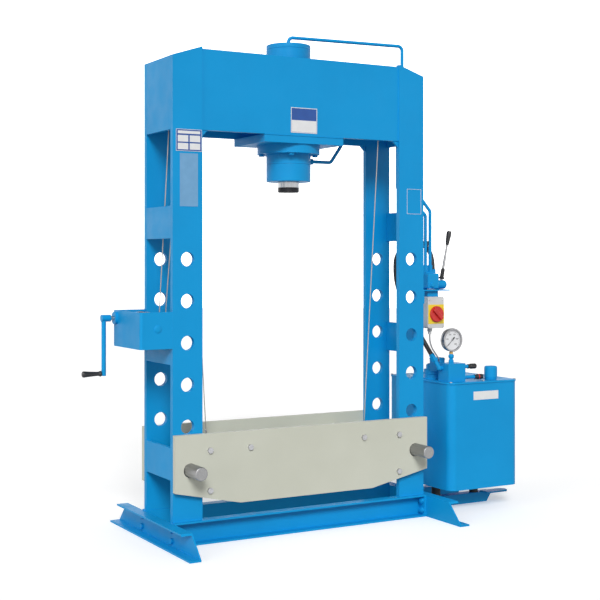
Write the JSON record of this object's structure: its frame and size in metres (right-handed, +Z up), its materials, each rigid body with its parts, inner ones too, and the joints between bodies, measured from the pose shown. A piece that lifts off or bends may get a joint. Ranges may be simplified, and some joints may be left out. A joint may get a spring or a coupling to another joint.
{
  "type": "hydraulic workshop press",
  "caption": "Floor-standing H-frame hydraulic press with a bed hung on pins, a hand winch for the bed, a control valve and a separate oil tank.",
  "frame": {"origin": "on the floor midway between the uprights, on the cylinder's axis", "axes": "+X to the operator's right, towards the tank; +Y from front to back; +Z up"},
  "size_m": [2.195, 0.9, 2.266],
  "materials": {
    "blue_paint": "satin enamel",
    "cream_paint": "satin enamel",
    "pin_steel": "turned, dull",
    "zinc": "zinc plated",
    "chrome": "polished",
    "black_steel": "blackened",
    "seal_rubber": "matt",
    "hose_rubber": "matt",
    "machined": "machined",
    "bronze": "turned",
    "rope_wire": "galvanised strands",
    "black_plastic": "moulded",
    "grey_plastic": "moulded",
    "yellow_plastic": "moulded",
    "red_plastic": "moulded",
    "cable_grey": "matt",
    "dial_white": "printed"
  },
  "bodies": {
    "frame": {"left_uprights": "blue_paint", "right_uprights": "blue_paint", "side_plates": "blue_paint", "head_plates": "blue_paint", "cylinder_mount_plate": "blue_paint", "base_beams": "blue_paint", "feet": "blue_paint", "base_bolts": "blue_paint", "cylinder_barrel": "blue_paint", "cylinder_end_cap": "blue_paint", "rod_gland": "blue_paint", "oil_pipes": "blue_paint", "pipe_fittings": "blue_paint", "winch_housing": "blue_paint", "valve_bracket": "blue_paint", "control_valve": "blue_paint", "tank": "blue_paint", "tank_lid": "blue_paint", "tank_supports": "blue_paint", "pump_body": "blue_paint", "manifold_block": "blue_paint", "hose_fittings": "blue_paint", "flange_bolts": "black_steel", "pulley_axles": "machined", "gauge_case": "machined", "rod_seal": "seal_rubber", "tank_pads": "seal_rubber", "winch_bushes": "bronze", "bed_ropes": "rope_wire", "pipe_clamp": "black_plastic", "switch_box": "grey_plastic", "cable_gland": "grey_plastic", "switch_plate": "yellow_plastic", "hydraulic_hose": "hose_rubber", "switch_cable": "cable_grey", "gauge_dial": "dial_white"},
    "bed": {"bed_plates": "cream_paint", "bed_spacers": "cream_paint", "bed_bolts": "zinc"},
    "left_bed_pin": {"left_pin": "pin_steel"},
    "right_bed_pin": {"right_pin": "pin_steel"},
    "ram": {"ram_rod": "chrome", "ram_piston": "machined", "piston_seal": "seal_rubber", "ram_nose": "black_steel"},
    "drum": {"winch_drum": "machined", "rope_windings": "rope_wire", "worm_wheel": "machined"},
    "crank": {"crank_worm": "machined", "crank_arm": "blue_paint"},
    "grip": {"crank_grip": "black_plastic"},
    "left_rear_sheave": {"left_rear_pulley": "machined"},
    "left_front_sheave": {"left_front_pulley": "machined"},
    "right_sheave": {"right_pulley": "machined"},
    "lever": {"valve_lever": "chrome"},
    "switch_handle": {"switch_knob": "red_plastic"},
    "relief_screw": {"relief_knob": "black_plastic"},
    "shutoff_screw": {"shutoff_knob": "black_plastic"},
    "needle": {"gauge_needle": "black_steel"},
    "filler": {"filler_cap": "blue_paint"}
  },
  "joints": [
    {"name": "bed_lift", "type": "slide", "parent": "frame", "child": "bed", "axis": [0, 0, 1], "range_m": [0, 0.003]},
    {"name": "left_pin_pull", "type": "slide", "parent": "frame", "child": "left_bed_pin", "axis": [0, -1, 0], "range_m": [0, 0.5]},
    {"name": "right_pin_pull", "type": "slide", "parent": "frame", "child": "right_bed_pin", "axis": [0, -1, 0], "range_m": [0, 0.5]},
    {"name": "ram_stroke", "type": "slide", "parent": "frame", "child": "ram", "axis": [0, 0, -1], "range_m": [0, 0.3]},
    {"name": "crank_turn", "type": "hinge", "parent": "frame", "child": "crank", "pos_m": [-0.8, 0.121, 0.97], "axis": [1, 0, 0], "continuous": true},
    {"name": "grip_turn", "type": "hinge", "parent": "crank", "child": "grip", "pos_m": [-0.9, 0.121, 0.728], "axis": [1, 0, 0], "continuous": true},
    {"name": "drum_turn", "type": "hinge", "parent": "frame", "child": "drum", "pos_m": [-0.72, 0, 0.932], "axis": [0, 1, 0], "continuous": true},
    {"name": "left_rear_pulley_turn", "type": "hinge", "parent": "frame", "child": "left_rear_sheave", "pos_m": [-0.55, 0, 1.87], "axis": [0, 1, 0], "continuous": true},
    {"name": "left_front_pulley_turn", "type": "hinge", "parent": "frame", "child": "left_front_sheave", "pos_m": [-0.55, -0.112, 1.87], "axis": [0, 1, 0], "continuous": true},
    {"name": "right_pulley_turn", "type": "hinge", "parent": "frame", "child": "right_sheave", "pos_m": [0.375, -0.112, 1.87], "axis": [0, 1, 0], "continuous": true},
    {"name": "lever_swing", "type": "hinge", "parent": "frame", "child": "lever", "pos_m": [0.795, -0.1, 1.105], "axis": [0, 1, 0], "range_deg": [-10, 10], "stiffness_Nm_per_rad": 4},
    {"name": "switch_turn", "type": "hinge", "parent": "frame", "child": "switch_handle", "pos_m": [0.7285, -0.17, 0.964], "axis": [0, -1, 0], "range_deg": [-90, 0]},
    {"name": "relief_turn", "type": "hinge", "parent": "frame", "child": "relief_screw", "pos_m": [0.95, -0.14, 0.702], "axis": [1, 0, 0], "range_deg": [0, 270]},
    {"name": "shutoff_turn", "type": "hinge", "parent": "frame", "child": "shutoff_screw", "pos_m": [0.96, -0.15, 0.65], "axis": [1, 0, 0], "range_deg": [0, 270]},
    {"name": "needle_turn", "type": "hinge", "parent": "frame", "child": "needle", "pos_m": [0.826, -0.155, 0.836], "axis": [0, 1, 0], "range_deg": [0, 270], "stiffness_Nm_per_rad": 0.02},
    {"name": "filler_cap_turn", "type": "hinge", "parent": "frame", "child": "filler", "pos_m": [1.065, -0.15, 0.662], "axis": [0, 0, 1], "continuous": true}
  ],
  "couplings": [
    {"joint": "drum_turn", "follows": "crank_turn", "ratio": 0.038462},
    {"joint": "left_rear_pulley_turn", "follows": "crank_turn", "ratio": 0.053462},
    {"joint": "left_front_pulley_turn", "follows": "crank_turn", "ratio": 0.053462},
    {"joint": "right_pulley_turn", "follows": "crank_turn", "ratio": 0.053462}
  ]
}
